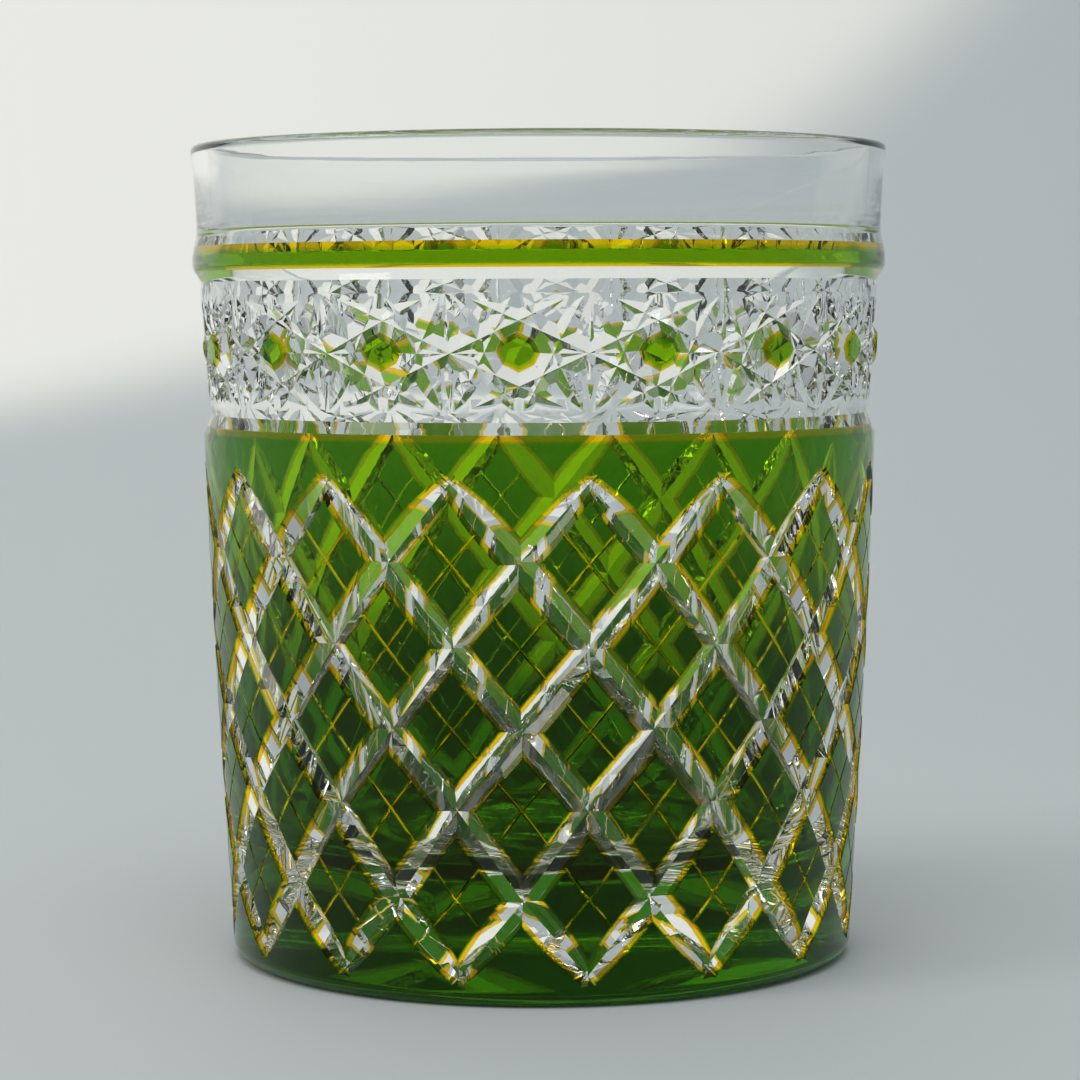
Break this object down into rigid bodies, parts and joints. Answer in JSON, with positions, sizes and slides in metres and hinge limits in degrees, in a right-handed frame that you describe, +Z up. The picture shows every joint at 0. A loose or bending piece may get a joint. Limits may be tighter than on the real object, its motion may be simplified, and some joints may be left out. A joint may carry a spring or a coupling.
{
  "type": "whiskey tumbler",
  "caption": "Straight-sided whiskey tumbler of cut cased glass: clear body under green casing, lattice of mitre cuts, star band and ring.",
  "frame": {"origin": "centre of the base, on the plane that the tumbler stands on", "axes": "+Z up along the tumbler's axis of revolution; the first column of the cutting faces -Y"},
  "size_m": [0.0826, 0.0826, 0.0965],
  "materials": {
    "clear_glass": "polished clear crystal, faint lines of refraction",
    "green_casing": "polished leaf-green casing glass with an amber edge where it is cut obliquely"
  },
  "bodies": {
    "root": {"clear_body": "clear_glass", "ring_casing": "green_casing", "star_buttons": "green_casing", "lattice_collar": "green_casing", "diamonds_row_1": "green_casing", "diamonds_row_2": "green_casing", "diamonds_row_3": "green_casing", "diamonds_row_4": "green_casing", "diamonds_row_5": "green_casing", "base_casing": "green_casing"}
  },
  "joints": []
}
